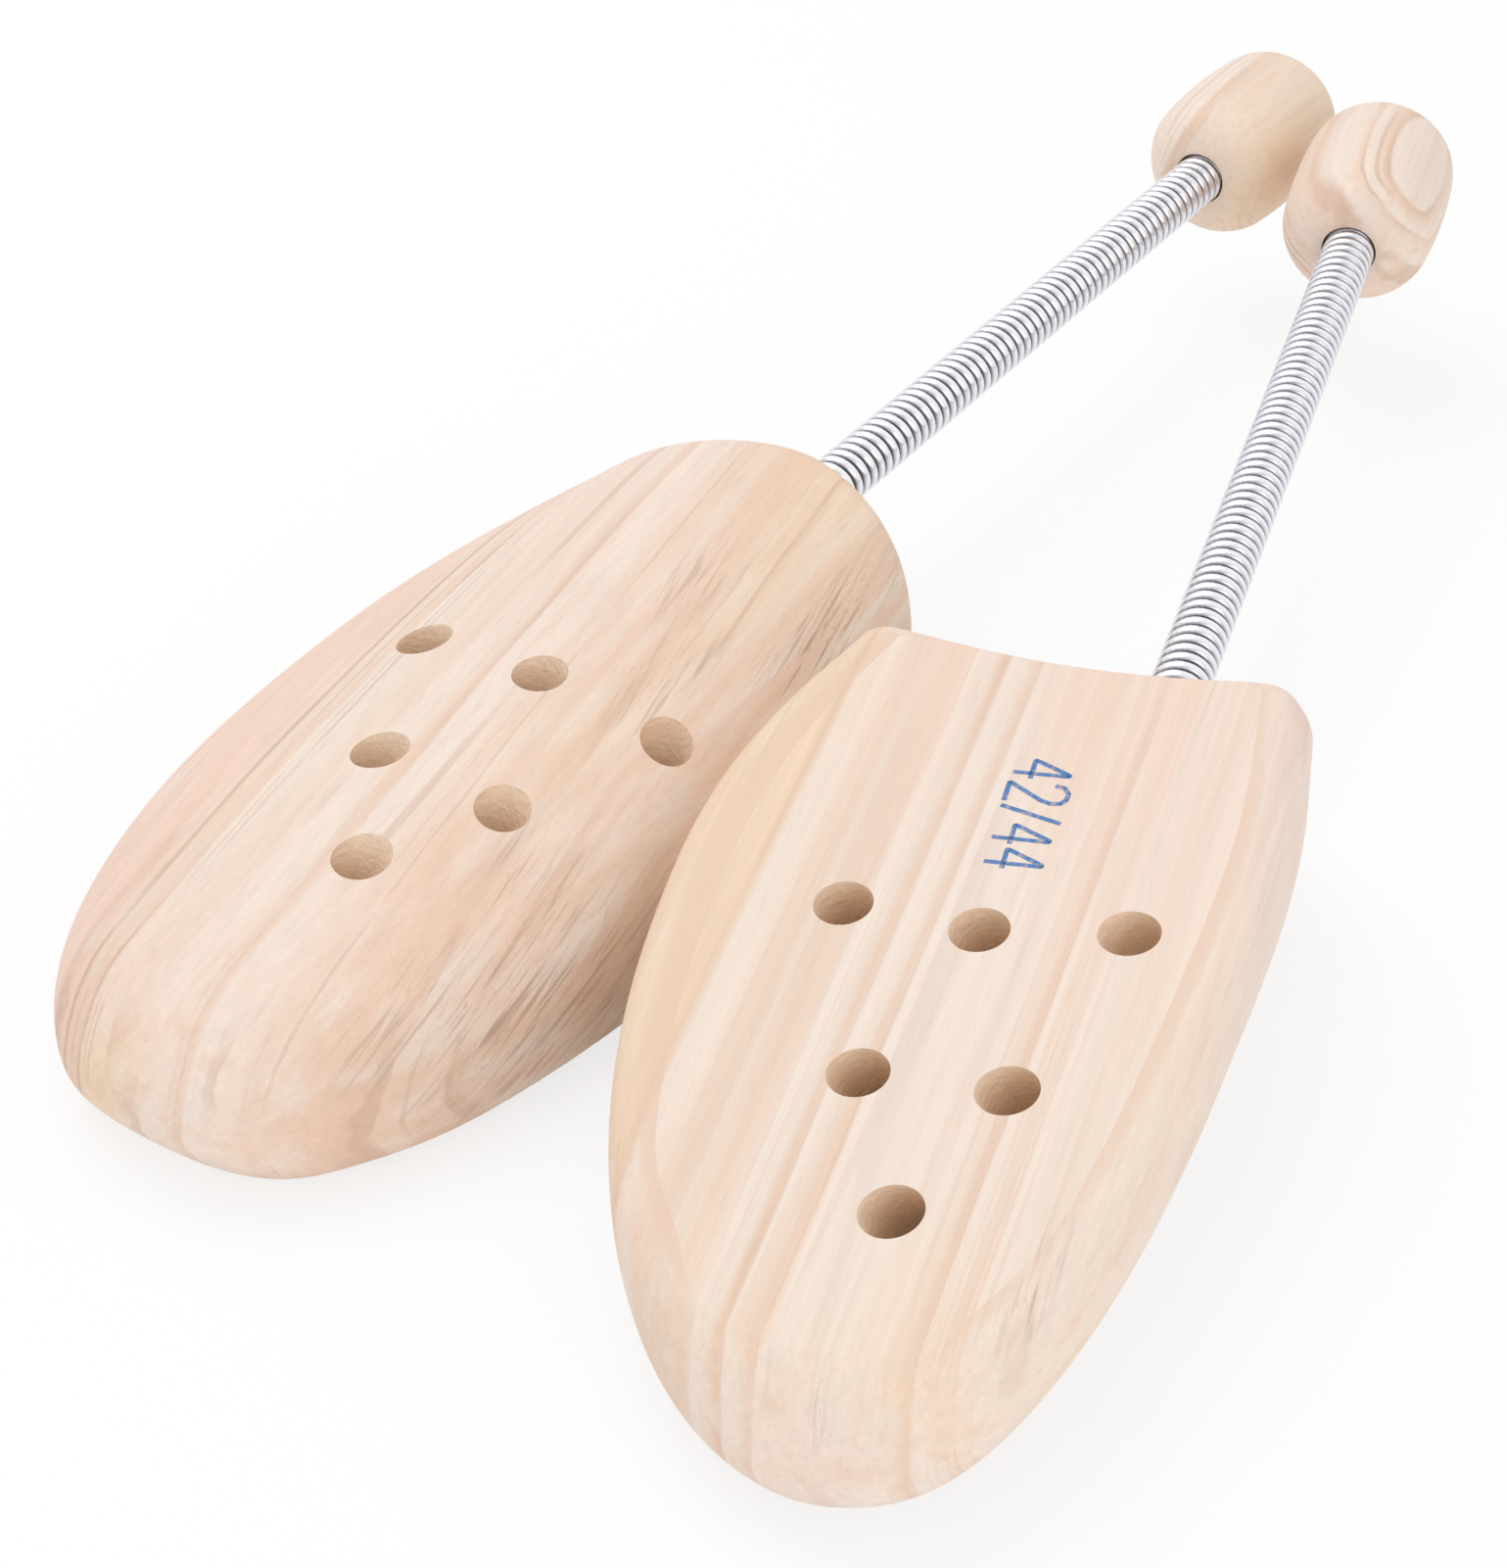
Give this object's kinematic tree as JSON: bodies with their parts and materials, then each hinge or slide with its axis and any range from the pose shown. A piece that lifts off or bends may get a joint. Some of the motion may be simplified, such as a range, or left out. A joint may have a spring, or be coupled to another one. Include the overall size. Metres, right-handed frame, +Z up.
{
  "type": "shoe stretcher",
  "caption": "Wooden shoe stretchers for the left and right foot: domed forefoot block with vent holes, bending steel coil spring and turned heel knob.",
  "frame": {"origin": "on the floor, in the middle of the area that the two trees cover", "axes": "+Y from the toes towards the heel knobs, +Z up, +X to the right as the picture shows it"},
  "size_m": [0.2008, 0.3052, 0.0454],
  "materials": {
    "block_wood": "sanded, raw",
    "knob_wood": "turned, raw",
    "peg_wood": "raw",
    "spring_wire": "bright"
  },
  "bodies": {
    "upright_block": {"upright_forefoot": "block_wood", "upright_spring": "spring_wire", "upright_front_peg": "peg_wood"},
    "upright_heel": {"upright_knob": "knob_wood", "upright_heel_peg": "peg_wood"},
    "upturned_block": {"upturned_forefoot": "block_wood", "upturned_spring": "spring_wire", "upturned_front_peg": "peg_wood"},
    "upturned_heel": {"upturned_knob": "knob_wood", "upturned_heel_peg": "peg_wood"}
  },
  "joints": [
    {"name": "upright_spring_bend", "type": "hinge", "parent": "upright_block", "child": "upright_heel", "pos_m": [0.02555, 0.07105, 0.02757], "axis": [0.83, -0.5577, 0], "range_deg": [-10, 60], "stiffness_Nm_per_rad": 0.115, "springref_deg": 2.96, "deforming": ["upright_spring"]},
    {"name": "upturned_tree_lift", "type": "slide", "parent": "upright_block", "child": "upturned_block", "axis": [0, 0, 1], "range_m": [0, 0.1]},
    {"name": "upturned_spring_bend", "type": "hinge", "parent": "upturned_block", "child": "upturned_heel", "pos_m": [0.06061, 0.03593, 0.02402], "axis": [0.9453, -0.3263, 0], "range_deg": [-10, 60], "stiffness_Nm_per_rad": 0.115, "springref_deg": 2.95, "deforming": ["upturned_spring"]}
  ]
}
